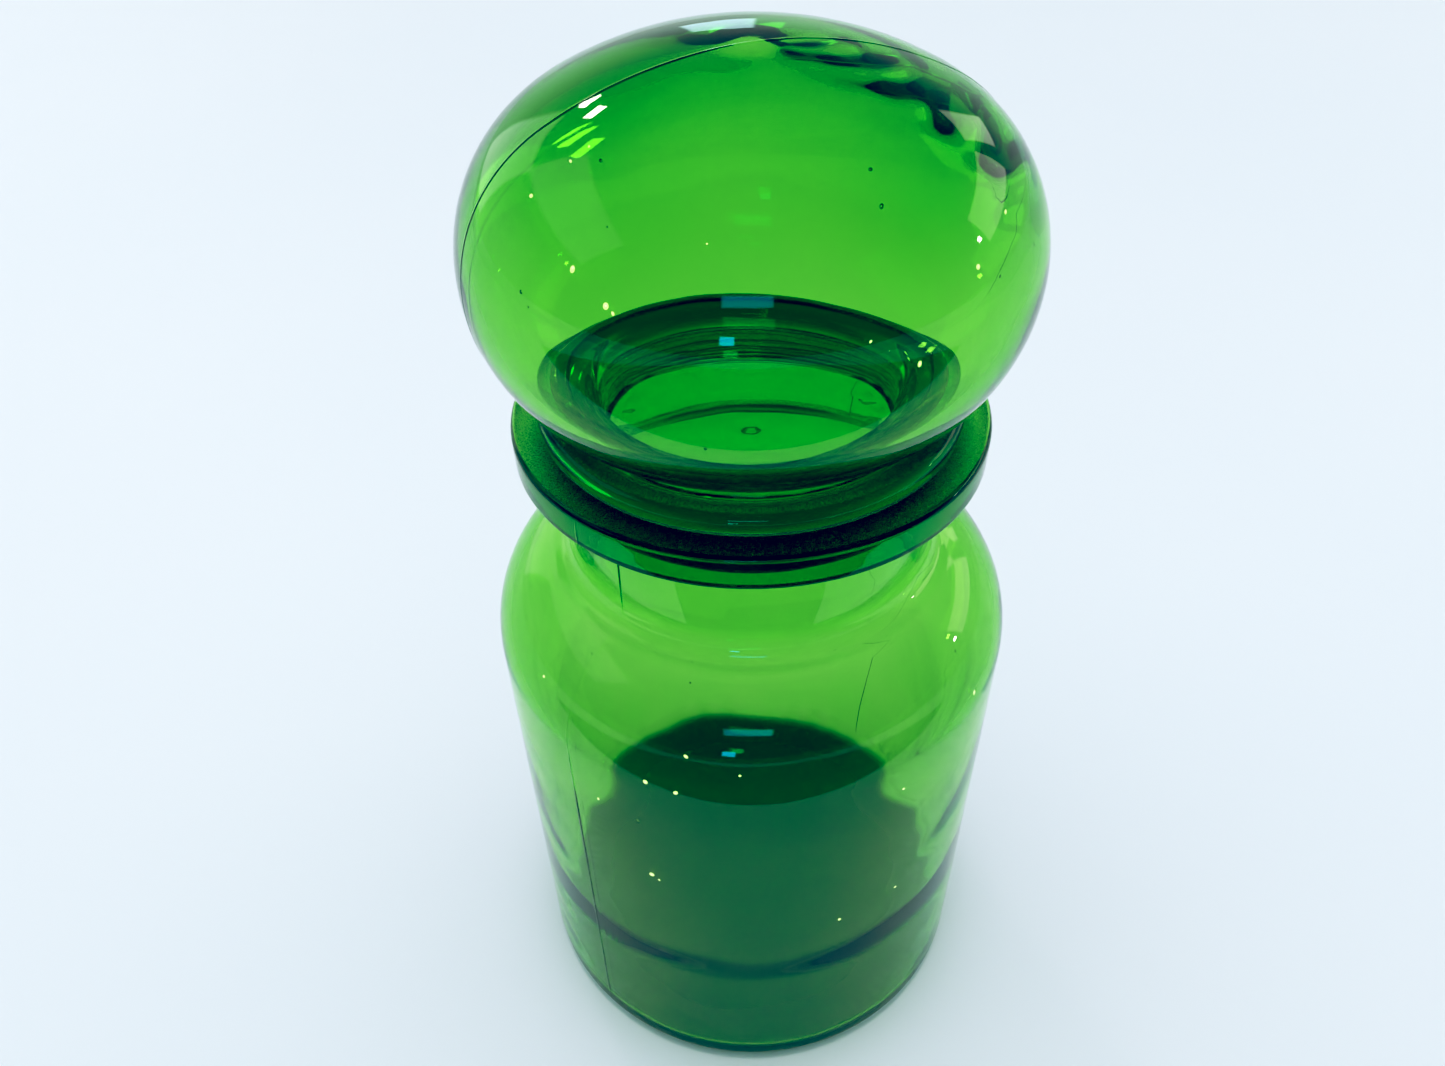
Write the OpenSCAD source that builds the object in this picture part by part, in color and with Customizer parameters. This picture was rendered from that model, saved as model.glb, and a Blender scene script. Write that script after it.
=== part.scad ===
// Round apothecary jar in green glass with a hollow bulb stopper and a ribbed sealing ring.
// Every piece is turned about the Z axis. Z = 0 is the plane of the foot.

/* [Jar] */
// Outer radius of the straight side
body_r = 55; // [54:0.5:57]
// Height of the straight side above the foot
body_h = 108; // [90:1:130]
// Radius of the rounded shoulder
shoulder_r = 22; // [21:0.5:22.5]
// Thickness of the blown wall
wall = 2.2; // [2:0.1:3.4]
// Radius of the rounded heel around the foot
heel_r = 5; // [3:0.5:7]
// Thickness of the floor at the wall
floor_t = 3.4; // [3:0.2:9]
// Rise of the hollow under the foot
kick_h = 2.4; // [1:0.2:3]
// Radius of the hollow under the foot
kick_r = 45; // [40:1:47]

/* [Neck and flange] */
// Radius of the mouth
bore_r = 33.8; // [33.4:0.1:34.2]
// Outer radius of the neck
neck_r = 37.2; // [36.8:0.1:37.6]
// Outer radius of the flange
flange_r = 45.6; // [44:0.2:48]
// Thickness of the flange
flange_t = 7; // [5:0.1:8]
// Height of the ground face of the flange above the foot
jar_h = 161.2; // [155:0.2:185]

/* [Stopper bulb] */
// Outer radius of the bulb
bulb_r = 50; // [48:0.5:52]
// Radius of the rounded side of the bulb
bulb_side_r = 30; // [28:0.5:30.5]
// Height from the widest line of the bulb to its top
bulb_top_h = 35; // [34:0.1:38]
// Depth from the widest line of the bulb to the virtual bottom of its curve
bulb_low_h = 35; // [34.5:0.1:35.5]
// Height of the widest line of the bulb above the collar's lower face
bulb_mid_h = 30.9; // [30.5:0.05:31.2]
// Thickness of the bulb wall
bulb_wall = 2.6; // [2.2:0.1:3]

/* [Stopper collar and plug] */
// Outer radius of the collar
collar_r = 40.4; // [39:0.2:42]
// Thickness of the collar
collar_t = 3.5; // [3:0.1:3.6]
// Radius of the rounded upper edge of the collar
collar_edge_r = 2.4; // [1:0.1:2.8]
// Radius of the plug under the collar
plug_r = 32; // [31.8:0.1:32.2]
// Amount by which the plug's radius narrows towards its bottom
plug_taper = 0.6; // [0.2:0.1:1]
// Length of the plug below the collar
plug_h = 13; // [11:0.5:18]
// Radius of the hollow inside the plug
throat_r = 29.2; // [28:0.1:29.4]
// Thickness of the closed bottom of the plug
plug_floor_t = 4; // [3:0.5:6]

/* [Sealing ring] */
// Thickness of the lip between the flange and the collar
lip_t = 0.8; // [0.5:0.1:1.2]
// Thickness of the sleeve around the plug
sleeve_t = 0.9; // [0.6:0.05:1]
// Height of the sleeve below the lip
sleeve_h = 9.7; // [9:0.1:10]
// Number of ribs
rib_count = 4; // [1:1:4]
// Spacing of the ribs
rib_pitch = 2.1; // [1.8:0.1:2.2]
// Radial clearance between the ribs and the mouth
rib_gap = 0.08; // [0.05:0.01:0.1]
// Radial clearance between the sleeve and the plug
sleeve_gap = 0.05; // [0.02:0.01:0.1]

/* [Hidden] */

glass_green = [0.10, 0.62, 0.16, 0.55];
seal_white = [0.82, 0.90, 0.84, 0.8];

// Small roundings
flange_top_r = 1.2;
flange_low_r = 0.9;
flange_cove_r = min(7, flange_r - neck_r - flange_low_r - 0.4);
mouth_edge_r = 1;
crease_cove_r = 5;
inner_lip_r = 8;
floor_corner_r = 3.5;
plug_corner_r = 2;
throat_floor_r = 2.5;
throat_lip_r = 3;
waist_cove_r = 1;
collar_low_r = 0.4;

// Small steps and chamfers of the sealing ring
lip_setback = 0.2;
sleeve_chamfer_w = 0.3;
sleeve_chamfer_h = 0.8;
rib_first_depth = 1.6;
rib_root = 0.55;
rib_tip = 0.2;
rib_sink = 0.2;

// Depth by which an added or cut shape runs past its neighbour's edge
overlap = 1;

// Jar levels
shoulder_x = body_r - shoulder_r;
flange_low_z = jar_h - flange_t;
kick_ball_r = (kick_r * kick_r + kick_h * kick_h) / (2 * kick_h);

// Stopper levels
collar_z = jar_h + lip_t;
bulb_z = collar_z + bulb_mid_h;
bulb_side_x = bulb_r - bulb_side_r;
bulb_top_r = cap_radius(bulb_r, bulb_top_h, bulb_side_r);
bulb_low_r = cap_radius(bulb_r, bulb_low_h, bulb_side_r);
bulb_top_z = bulb_z + bulb_top_h - bulb_top_r;
bulb_low_z = bulb_z - bulb_low_h + bulb_low_r;
plug_low_z = collar_z - plug_h;
plug_low_r = plug_r - plug_taper;
plug_slope = plug_taper / plug_h;

// Sealing ring levels
seal_lip_r = collar_r - lip_setback;
rib_first_z = jar_h - rib_first_depth;

// Radius of the cap of an oval that is tangent to its side arcs
function cap_radius(half_w, half_h, side_r) =
    ((half_w - side_r) ^ 2 + half_h ^ 2 - side_r ^ 2) / (2 * (half_h - side_r));

// Radius of the plug's outside at a height
function plug_radius(z) = plug_low_r + (z - plug_low_z) * plug_slope;

module turned() rotate_extrude($fn = 180) children();

// Square corner piece left outside a quarter circle: takes off or fills a right-angled corner
module corner_2d(x, z, r, dx, dz) {
    difference() {
        translate([min(x, x + dx * r), min(z, z + dz * r)]) square(r);
        translate([x + dx * r, z + dz * r]) circle(r, $fn = 64);
    }
}

// Point on the line from a circle's centre to a fillet's centre, sunk below the circle's edge
function sunk_touch(arc, arc_r, fillet, f) = arc + (arc_r - overlap) / (arc_r + f) * (fillet - arc);

// Fillet of radius f between the upright line at line_x and a circle below it, on the line's outer side
module fillet_above_arc_2d(line_x, arc, arc_r, f) {
    cx = line_x + f;
    cz = arc[1] + sqrt((arc_r + f) ^ 2 - (cx - arc[0]) ^ 2);
    difference() {
        polygon([[line_x - overlap, cz], [cx, cz], sunk_touch(arc, arc_r, [cx, cz], f),
            [line_x - overlap, arc[1] + arc_r / 2]]);
        translate([cx, cz]) circle(f, $fn = 64);
    }
}

// Half outline of an oval with side arcs and two caps, all reduced by inset
module oval_2d(inset) {
    intersection() {
        translate([bulb_side_x, bulb_z]) circle(bulb_side_r - inset, $fn = 128);
        translate([0, bulb_z - bulb_side_r]) square([bulb_r, 2 * bulb_side_r]);
    }
    cap_sector_2d(bulb_top_z, bulb_top_r - inset, 1);
    cap_sector_2d(bulb_low_z, bulb_low_r - inset, -1);
}

// Part of a cap's circle between the axis, the widest line and the line through the side arc's centre
module cap_sector_2d(centre_z, r, up) {
    reach = 2 * r / norm([bulb_side_x, bulb_z - centre_z]);
    intersection() {
        translate([0, centre_z]) circle(r, $fn = 180);
        polygon([
            [0, bulb_z],
            [bulb_side_x, bulb_z],
            [bulb_side_x * reach, centre_z + (bulb_z - centre_z) * reach],
            [0, centre_z + up * 2 * r]
        ]);
    }
}

// Open space between the shoulder, the neck and the underside of the flange
module neck_space_2d() {
    cx = neck_r + crease_cove_r;
    cz = body_h + sqrt((shoulder_r + crease_cove_r) ^ 2 - (cx - shoulder_x) ^ 2);
    difference() {
        polygon([[neck_r, cz], [cx, cz], [shoulder_x, body_h], [body_r + overlap, body_h],
            [body_r + overlap, flange_low_z], [neck_r, flange_low_z]]);
        translate([shoulder_x, body_h]) circle(shoulder_r, $fn = 96);
        corner_2d(neck_r, flange_low_z, flange_cove_r, 1, -1);
    }
    translate([cx, cz]) circle(crease_cove_r, $fn = 64);
}

module jar_outer_2d() {
    difference() {
        square([body_r, jar_h]);
        corner_2d(body_r, 0, heel_r, -1, 1);
        neck_space_2d();
        translate([flange_r, flange_low_z]) square([body_r, jar_h]);
        corner_2d(flange_r, jar_h, flange_top_r, -1, -1);
        corner_2d(flange_r, flange_low_z, flange_low_r, -1, 1);
    }
}

module jar_inner_2d() {
    inner_r = body_r - wall;
    inner_shoulder_r = shoulder_r - wall;
    difference() {
        translate([0, floor_t]) square([inner_r, body_h - floor_t]);
        corner_2d(inner_r, floor_t, floor_corner_r, -1, 1);
        translate([0, floor_t + kick_h - kick_ball_r]) circle(kick_ball_r, $fn = 360);
    }
    translate([shoulder_x, body_h]) circle(inner_shoulder_r, $fn = 96);
    translate([0, body_h]) square([shoulder_x, inner_shoulder_r]);
    translate([0, body_h]) square([bore_r, jar_h + overlap - body_h]);
    fillet_above_arc_2d(bore_r, [shoulder_x, body_h], inner_shoulder_r, inner_lip_r);
    corner_2d(bore_r, jar_h, mouth_edge_r, 1, -1);
}

// Blown jar: straight side, rounded shoulder, short neck and a wide ground flange
module jar() {
    color(glass_green) turned() difference() {
        jar_outer_2d();
        jar_inner_2d();
        translate([0, kick_h - kick_ball_r]) circle(kick_ball_r, $fn = 360);
    }
}

// Fills the groove between the bulb's side arc and the top of the collar
module waist_2d() {
    side = [bulb_side_x, bulb_z];
    top_z = collar_z + collar_t;
    cz = top_z + waist_cove_r;
    cx = bulb_side_x + sqrt((bulb_side_r + waist_cove_r) ^ 2 - (bulb_z - cz) ^ 2);
    difference() {
        polygon([[throat_r, top_z - overlap], [cx, top_z - overlap], [cx, cz],
            sunk_touch(side, bulb_side_r, [cx, cz], waist_cove_r), [throat_r, cz + overlap]]);
        translate([cx, cz]) circle(waist_cove_r, $fn = 48);
    }
}

// Tapered plug with a rounded lower corner
module plug_2d() {
    centre = [plug_radius(plug_low_z + plug_corner_r) - plug_corner_r * norm([1, plug_slope]),
        plug_low_z + plug_corner_r];
    touch = centre + plug_corner_r * [1, -plug_slope] / norm([1, plug_slope]);
    polygon([[0, plug_low_z], [centre[0], plug_low_z], centre, touch, [plug_r, collar_z],
        [plug_r, collar_z + overlap], [0, collar_z + overlap]]);
    translate(centre) circle(plug_corner_r, $fn = 64);
}

module stopper_outer_2d() {
    oval_2d(0);
    waist_2d();
    difference() {
        translate([0, collar_z]) square([collar_r, collar_t]);
        corner_2d(collar_r, collar_z + collar_t, collar_edge_r, -1, -1);
        corner_2d(collar_r, collar_z, collar_low_r, -1, 1);
    }
    plug_2d();
}

module stopper_inner_2d() {
    floor_z = plug_low_z + plug_floor_t;
    cap = [0, bulb_low_z];
    cap_r = bulb_low_r - bulb_wall;
    lip_x = throat_r + throat_lip_r;
    lip_z = bulb_low_z - sqrt((cap_r + throat_lip_r) ^ 2 - lip_x ^ 2);
    oval_2d(bulb_wall);
    difference() {
        translate([0, floor_z]) square([throat_r, lip_z - floor_z]);
        corner_2d(throat_r, floor_z, throat_floor_r, -1, 1);
    }
    difference() {
        polygon([[0, lip_z - overlap], [throat_r, lip_z - overlap], [throat_r, lip_z], [lip_x, lip_z],
            sunk_touch(cap, cap_r, [lip_x, lip_z], throat_lip_r), [0, lip_z + throat_lip_r]]);
        translate([lip_x, lip_z]) circle(throat_lip_r, $fn = 64);
    }
}

// Hollow blown stopper: flattened bulb, collar and a closed tapered plug, all one piece
module stopper() {
    color(glass_green) turned() difference() {
        stopper_outer_2d();
        stopper_inner_2d();
    }
}

// Moulded sealing ring: a thin lip, a sleeve that follows the plug, and ribs that wipe the mouth
module seal_ring() {
    sleeve_low_z = jar_h - sleeve_h;
    inner_top = plug_r + sleeve_gap;
    inner_low = plug_radius(sleeve_low_z) + sleeve_gap;
    outer = inner_top + sleeve_t;
    color(seal_white) turned() {
        polygon([
            [inner_low, sleeve_low_z], [outer - sleeve_chamfer_w, sleeve_low_z],
            [outer, sleeve_low_z + sleeve_chamfer_h],
            [outer, jar_h - mouth_edge_r], [outer + mouth_edge_r, jar_h],
            [seal_lip_r, jar_h], [seal_lip_r, collar_z], [inner_top, collar_z]
        ]);
        for (i = [0:rib_count - 1]) {
            z = rib_first_z - i * rib_pitch;
            polygon([
                [outer - rib_sink, z - rib_root], [bore_r - rib_gap, z - rib_tip],
                [bore_r - rib_gap, z + rib_tip], [outer - rib_sink, z + rib_root]
            ]);
        }
    }
}

jar();
stopper();
seal_ring();
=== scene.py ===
"""Looks for a green glass apothecary jar with a hollow bulb stopper and a ribbed sealing ring.

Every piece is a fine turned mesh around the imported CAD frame. Outlines are in millimetres,
as (radius, height) pairs, and each mesh is scaled to metres when it is made.
"""

import math
import random

import bpy
import numpy as np
from mathutils import Matrix, Vector


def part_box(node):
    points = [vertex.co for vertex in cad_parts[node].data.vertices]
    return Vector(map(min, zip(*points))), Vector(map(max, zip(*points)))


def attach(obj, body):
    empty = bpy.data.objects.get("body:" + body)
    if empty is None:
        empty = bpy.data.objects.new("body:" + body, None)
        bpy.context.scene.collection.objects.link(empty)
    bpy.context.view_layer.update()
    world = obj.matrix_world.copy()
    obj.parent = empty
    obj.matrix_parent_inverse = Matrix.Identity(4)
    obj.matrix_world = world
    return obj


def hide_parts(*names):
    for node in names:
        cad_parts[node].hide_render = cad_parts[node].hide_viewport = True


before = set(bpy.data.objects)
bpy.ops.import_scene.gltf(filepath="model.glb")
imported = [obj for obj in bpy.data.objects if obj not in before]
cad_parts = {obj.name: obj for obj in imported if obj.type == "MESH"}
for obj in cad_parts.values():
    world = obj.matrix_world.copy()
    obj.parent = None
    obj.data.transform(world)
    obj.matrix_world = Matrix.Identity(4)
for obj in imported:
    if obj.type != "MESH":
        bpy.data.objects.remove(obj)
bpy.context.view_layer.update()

MM = 0.001

# ---------------------------------------------------------------- sizes, from the frame
jar_low, jar_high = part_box("jar")
stopper_low, stopper_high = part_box("stopper")
ring_low, ring_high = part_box("seal_ring")


def to_mm(value):
    """A length from the frame in millimetres, free of the tessellation's last digits."""
    return round(value / MM, 1)


body_r = to_mm(jar_high.x)
jar_h = to_mm(jar_high.z)
bulb_r = to_mm(stopper_high.x)
bulb_top = to_mm(stopper_high.z)
plug_low_z = to_mm(stopper_low.z)
collar_z = to_mm(ring_high.z)
sleeve_low_z = to_mm(ring_low.z)

# ---------------------------------------------------------------- sizes of the jar's outline
body_h = 108.0
shoulder_r = 22.0
wall = 2.2
heel_r = 5.0
floor_t = 3.4
kick_h = 2.4
kick_r = 45.0
bore_r = 33.8
neck_r = 37.2
flange_r = 45.6
flange_t = 7.0
flange_top_r = 1.2
flange_low_r = 0.9
flange_cove_r = 7.0
mouth_edge_r = 1.0
crease_cove_r = 5.0
inner_lip_r = 8.0
floor_corner_r = 3.5

shoulder_x = body_r - shoulder_r
flange_low_z = jar_h - flange_t
crease_low_z = body_h + 18
crease_high_z = body_h + 26
foot_high_z = 0.5
kick_ball_r = (kick_r**2 + kick_h**2) / (2 * kick_h)
inner_r = body_r - wall
inner_shoulder_r = shoulder_r - wall

# ---------------------------------------------------------------- sizes of the stopper's outline
bulb_side_r = 30.0
bulb_half_h = 35.0
bulb_wall = 2.6
collar_r = 40.4
collar_t = 3.5
collar_edge_r = 2.4
collar_low_r = 0.4
plug_r = 32.0
plug_taper = 0.6
plug_corner_r = 2.0
plug_floor_t = 4.0
throat_r = 29.2
throat_floor_r = 2.5
throat_lip_r = 3.0
waist_cove_r = 1.0

bulb_z = bulb_top - bulb_half_h
bulb_side_x = bulb_r - bulb_side_r
cap_r = (bulb_side_x**2 + bulb_half_h**2 - bulb_side_r**2) / (2 * (bulb_half_h - bulb_side_r))
top_cap_z = bulb_z + bulb_half_h - cap_r
low_cap_z = bulb_z - bulb_half_h + cap_r
plug_slope = plug_taper / (collar_z - plug_low_z)
throat_floor_z = plug_low_z + plug_floor_t

# ---------------------------------------------------------------- sizes of the sealing ring
lip_gap = 0.06
lip_r = 40.2
sleeve_t = 0.9
sleeve_gap = 0.05
rib_gap = 0.08
rib_count = 4
rib_pitch = 2.1
rib_first_z = jar_h - 1.6
rib_half = 0.45
rib_round = 0.18
rib_root_r = 33.0
rib_waver_t = 0.02

# ---------------------------------------------------------------- relief of the jar's surfaces
skin_wave_t = 0.025
inner_wave_t = 0.16
inner_fine_wave_t = 0.05
shoulder_swell_t = 0.3
crease_ridge_r = 40.6
crease_ridge_t = 0.25
settle_z = 42.7
settle_half = 6.5
settle_t = 0.8
settle_wander = 1.5
foot_knurls = 90
foot_knurl_t = 0.22
corner_knurl_t = 0.35

# ---------------------------------------------------------------- relief of the stopper's surfaces
bulb_skin_wave_t = 0.03
bulb_seam_t = 0.08
bulb_wave_t = 0.14
crown_t = 1.8
streak_t = 1.3
throat_wave_t = 0.09
scallop_t = 0.28
dimple_t = 0.5
dimple_r = 2.1

# Azimuth and half width in degrees, height, half height and extra thickness in mm of the bulb's thick places
bulb_swells = (
    (42, 30, bulb_z - 2, 14, 1.1),
    (140, 45, bulb_z + 2, 24, 1.3),
)

# Azimuth in degrees, height and half width in mm of the larger seeds, which glint
jar_glints = (
    (-111.2, 109.2, 0.50), (-104.8, 108.5, 0.55), (-103.0, 117.0, 0.35), (-111.9, 77.2, 0.60),
    (-110.2, 76.1, 0.30), (-54.5, 62.9, 0.40), (-69.3, 60.7, 0.40), (-123.7, 96.2, 0.30),
    (-56.6, 100.3, 0.35), (-92.0, 114.5, 0.30), (-141.0, 118.0, 0.35), (-35.0, 112.0, 0.40),
)
stopper_glints = (
    (-140.0, 213.3, 0.40), (-123.0, 208.0, 0.40), (-115.0, 204.9, 0.45), (-113.5, 204.2, 0.25),
    (-136.0, 217.5, 0.25), (-134.5, 219.0, 0.20), (-46.0, 205.7, 0.40), (-33.0, 209.4, 0.30),
    (-61.0, 196.1, 0.35), (-70.0, 201.0, 0.20), (-98.0, 213.0, 0.15),
)
small_jar_seeds = 16
small_stopper_seeds = 18


# ---------------------------------------------------------------- outlines
def angle_to(a, b):
    """Direction from point a to point b, in degrees."""
    return math.degrees(math.atan2(b[1] - a[1], b[0] - a[0]))


def arc(centre, r, start, end, step=4.0):
    """Points along a circle. 0 degrees is outward and 90 is up."""
    count = max(2, round(abs(end - start) / step))
    angles = np.radians(np.linspace(start, end, count + 1))
    return [(centre[0] + r * math.cos(a), centre[1] + r * math.sin(a)) for a in angles]


def outline(*parts, step=1.7):
    """Joins arcs and corner points into one line, and fills its straight stretches with points."""
    corners = [p for part in parts for p in part]
    points = [corners[0]]
    for p in corners[1:]:
        gap = math.dist(points[-1], p)
        if gap < 1e-4:
            continue
        start = points[-1]
        count = max(1, round(gap / step))
        for i in range(1, count + 1):
            t = i / count
            points.append((start[0] + (p[0] - start[0]) * t, start[1] + (p[1] - start[1]) * t))
    return np.array(points)


def jar_outline():
    """From the hollow under the foot, up the outside, over the flange and down the inside to the floor."""
    kick_centre = (0, kick_h - kick_ball_r)
    kick_edge = math.degrees(math.acos(kick_r / kick_ball_r))
    shoulder = (shoulder_x, body_h)
    crease_x = neck_r + crease_cove_r
    crease_up = math.sqrt((shoulder_r + crease_cove_r) ** 2 - (crease_x - shoulder_x) ** 2)
    crease = (crease_x, body_h + crease_up)
    crease_way = angle_to(shoulder, crease)
    lip_x = bore_r + inner_lip_r
    lip_up = math.sqrt((inner_shoulder_r + inner_lip_r) ** 2 - (lip_x - shoulder_x) ** 2)
    lip = (lip_x, body_h + lip_up)
    lip_way = angle_to(shoulder, lip)
    corner = (inner_r - floor_corner_r, floor_t + floor_corner_r)
    dome_centre = (0, floor_t + kick_h - kick_ball_r)
    dome_edge = math.degrees(math.acos((corner[0] - 1.0) / kick_ball_r))
    return outline(
        arc(kick_centre, kick_ball_r, 90, kick_edge, 0.25),
        arc((body_r - heel_r, heel_r), heel_r, -90, 0, 7),
        arc(shoulder, shoulder_r, 0, crease_way, 3),
        arc(crease, crease_cove_r, crease_way + 180, 180, 9),
        arc((neck_r + flange_cove_r, flange_low_z - flange_cove_r), flange_cove_r, 180, 90, 7),
        arc((flange_r - flange_low_r, flange_low_z + flange_low_r), flange_low_r, -90, 0, 10),
        arc((flange_r - flange_top_r, jar_h - flange_top_r), flange_top_r, 0, 90, 10),
        arc((bore_r + mouth_edge_r, jar_h - mouth_edge_r), mouth_edge_r, 90, 180, 12),
        arc(lip, inner_lip_r, 180, lip_way + 180, 7),
        arc(shoulder, inner_shoulder_r, lip_way, 0, 3),
        arc(corner, floor_corner_r, 0, -88, 6),
        arc(dome_centre, kick_ball_r, dome_edge, 90, 0.25),
    )


def stopper_skin():
    """From the plug's bottom up the outside to the top of the bulb."""
    plug_way = math.degrees(math.atan(plug_slope))
    corner_z = plug_low_z + plug_corner_r
    side_at_corner = plug_r - plug_slope * (collar_z - corner_z)
    corner = (side_at_corner - plug_corner_r / math.cos(math.radians(plug_way)), corner_z)
    side = (bulb_side_x, bulb_z)
    cove_z = collar_z + collar_t + waist_cove_r
    cove_x = bulb_side_x + math.sqrt((bulb_side_r + waist_cove_r) ** 2 - (bulb_z - cove_z) ** 2)
    cove_way = angle_to((cove_x, cove_z), side)
    cap_way = angle_to((0, top_cap_z), side)
    pole_patch_r = 12.0
    near_pole = 90 - math.degrees(pole_patch_r / cap_r)
    return outline(
        [(0, plug_low_z)],
        arc(corner, plug_corner_r, -90, -plug_way, 9),
        [(plug_r, collar_z)],
        arc((collar_r - collar_low_r, collar_z + collar_low_r), collar_low_r, -90, 0, 18),
        arc((collar_r - collar_edge_r, collar_z + collar_t - collar_edge_r), collar_edge_r, 0, 90, 7),
        arc((cove_x, cove_z), waist_cove_r, 270, cove_way, 12),
        arc(side, bulb_side_r, cove_way - 180, cap_way, 2.5),
        arc((0, top_cap_z), cap_r, cap_way, near_pole, 1.0),
        arc((0, top_cap_z), cap_r, near_pole, 90, 0.25),
    )


def stopper_hollow():
    """The closed space inside the stopper, from the throat's floor to the top of the bulb."""
    side = (bulb_side_x, bulb_z)
    low_cap = (0, low_cap_z)
    inner_cap_r = cap_r - bulb_wall
    lip_x = throat_r + throat_lip_r
    lip = (lip_x, low_cap_z - math.sqrt((inner_cap_r + throat_lip_r) ** 2 - lip_x**2))
    lip_way = angle_to(lip, low_cap)
    cap_way = angle_to((0, top_cap_z), side)
    return outline(
        [(0, throat_floor_z)],
        arc((throat_r - throat_floor_r, throat_floor_z + throat_floor_r), throat_floor_r, -90, 0, 9),
        arc(lip, throat_lip_r, 180, lip_way, 7),
        arc(low_cap, inner_cap_r, lip_way - 180, -cap_way, 1.0),
        arc(side, bulb_side_r - bulb_wall, -cap_way, cap_way, 2.5),
        arc((0, top_cap_z), inner_cap_r, cap_way, 90, 1.0),
        step=1.2,
    )


def ring_outline():
    """Closed line around the sealing ring's section: lip, sleeve and rounded ribs."""
    inner_top = plug_r + sleeve_gap
    inner_low = plug_r - plug_slope * (collar_z - sleeve_low_z) + sleeve_gap
    outer = inner_top + sleeve_t
    tip = bore_r - rib_gap
    lip_top = collar_z - lip_gap
    lip_low = jar_h + lip_gap
    lip_round = (lip_top - lip_low) / 2
    ribs = []
    for i in reversed(range(rib_count)):
        z = rib_first_z - i * rib_pitch
        ribs += [(outer, z - rib_half)]
        ribs += arc((tip - rib_round, z), rib_round, -60, 60, 30)
        ribs += [(outer, z + rib_half)]
    return outline(
        [(inner_low, sleeve_low_z + 0.2), (inner_low + 0.2, sleeve_low_z)],
        arc((outer - 0.35, sleeve_low_z + 0.35), 0.35, -90, 0, 30),
        ribs,
        arc((outer + mouth_edge_r, lip_low - mouth_edge_r), mouth_edge_r, 180, 90, 22),
        arc((lip_r - lip_round, lip_low + lip_round), lip_round, -90, 90, 22),
        arc((inner_top + 0.3, lip_top - 0.3), 0.3, 90, 180, 30),
        step=0.8,
    )


# ---------------------------------------------------------------- surface relief
def smooth(low, high, value):
    """0 below low, 1 above high and a smooth step between."""
    t = np.clip((value - low) / (high - low), 0, 1)
    return t * t * (3 - 2 * t)


def band(low, high, soft, value):
    """1 between low and high and 0 outside, with soft edges."""
    return smooth(low - soft, low, value) * (1 - smooth(high, high + soft, value))


def bump(value, centre, half, power=2):
    """1 at the centre, falling smoothly to 0 past half of its width on each side."""
    return np.exp(-(((value - centre) / half) ** power))


def turned_from(theta, azimuth):
    """Angle from the azimuth, given in degrees, as a number from -180 to 180."""
    return (np.degrees(theta) - azimuth + 180) % 360 - 180


def facing(theta, azimuth, half, power=4):
    """1 at the azimuth, falling smoothly to 0 past half of its width on each side, all in degrees."""
    return bump(turned_from(theta, azimuth), 0, half, power)


def ripple(seed, turns, waves, count=10):
    """Smooth waviness of about unit height. turns is the range of the number of waves around, and waves
    the range of their length along the outline, in mm."""
    draw = random.Random(seed)
    terms = []
    for _ in range(count):
        around = draw.randint(*turns)
        length = draw.uniform(*waves)
        terms.append((around, 2 * math.pi / length, draw.uniform(0, 6.28), draw.uniform(0, 6.28)))

    def height(theta, along):
        total = sum(np.cos(m * theta + a) * np.cos(k * along + b) for m, k, a, b in terms)
        return total / math.sqrt(count)

    return height


# ---------------------------------------------------------------- mould seams
jar_seam = math.radians(-130.5)
bulb_seam = math.radians(199.0)
bulb_seam_offset = 4.5
bulb_seam_turn_r = bulb_seam_offset + 1.5
seam_w = 0.2

# Places of the mesh's extra columns beside a seam, and the room that the even ones leave them, in mm
seam_clear = 1.3
seam_offsets = (-0.9, -0.6, -0.4, -0.26, -0.13, 0.0, 0.13, 0.26, 0.4, 0.6, 0.9)

# Lowest and highest level, softness of the ends and height of each stretch of the jar's seams, in mm
jar_seam_stretches = (
    (7, body_h - 4, 3, 0.11),
    (flange_low_z - 21, flange_low_z - 6, 2, 0.17),
    (flange_low_z - 4, jar_h - 2.5, 1, 0.06),
    (body_h, flange_low_z - 22, 2, 0.03),
)


def columns(count, seam_angle, seam_at_r):
    """Angles of the mesh's columns: evenly spaced, and closer together along both mould seams."""
    even = [2 * math.pi * i / count for i in range(count)]
    near = [seam_angle + side + d / seam_at_r for side in (0, math.pi) for d in seam_offsets]
    near = [a % (2 * math.pi) for a in near]
    clear = seam_clear / seam_at_r
    ends = [(seam_angle + side) % (2 * math.pi) for side in (0, math.pi)]

    def far_from_seams(angle):
        return all(abs((angle - e + math.pi) % (2 * math.pi) - math.pi) > clear for e in ends)

    return np.array(sorted(near + [a for a in even if far_from_seams(a)]))


def jar_seam_height(r, theta):
    """Raised line along both seams of the jar's two-part mould, for the outer surface."""
    across = np.minimum(
        np.abs((theta - jar_seam + math.pi) % (2 * math.pi) - math.pi),
        np.abs((theta - jar_seam) % (2 * math.pi) - math.pi),
    )
    return np.exp(-((across * r / seam_w) ** 2))


def bulb_seam_height(r, theta):
    """Raised line where the bulb's mould closed: a plane that passes beside the axis."""
    away = r * np.sin(theta - bulb_seam) - bulb_seam_offset
    return np.exp(-((away / seam_w) ** 2))


def follow_bulb_seam(theta, r):
    """Turns the mesh's columns so that they run along the bulb's seam. The turned surface stays the same."""
    most = bulb_seam_offset / bulb_seam_turn_r
    lean = np.arcsin(np.clip(bulb_seam_offset / np.maximum(r, 1e-6), 0, most))
    return theta + lean * np.cos(theta - bulb_seam)


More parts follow.
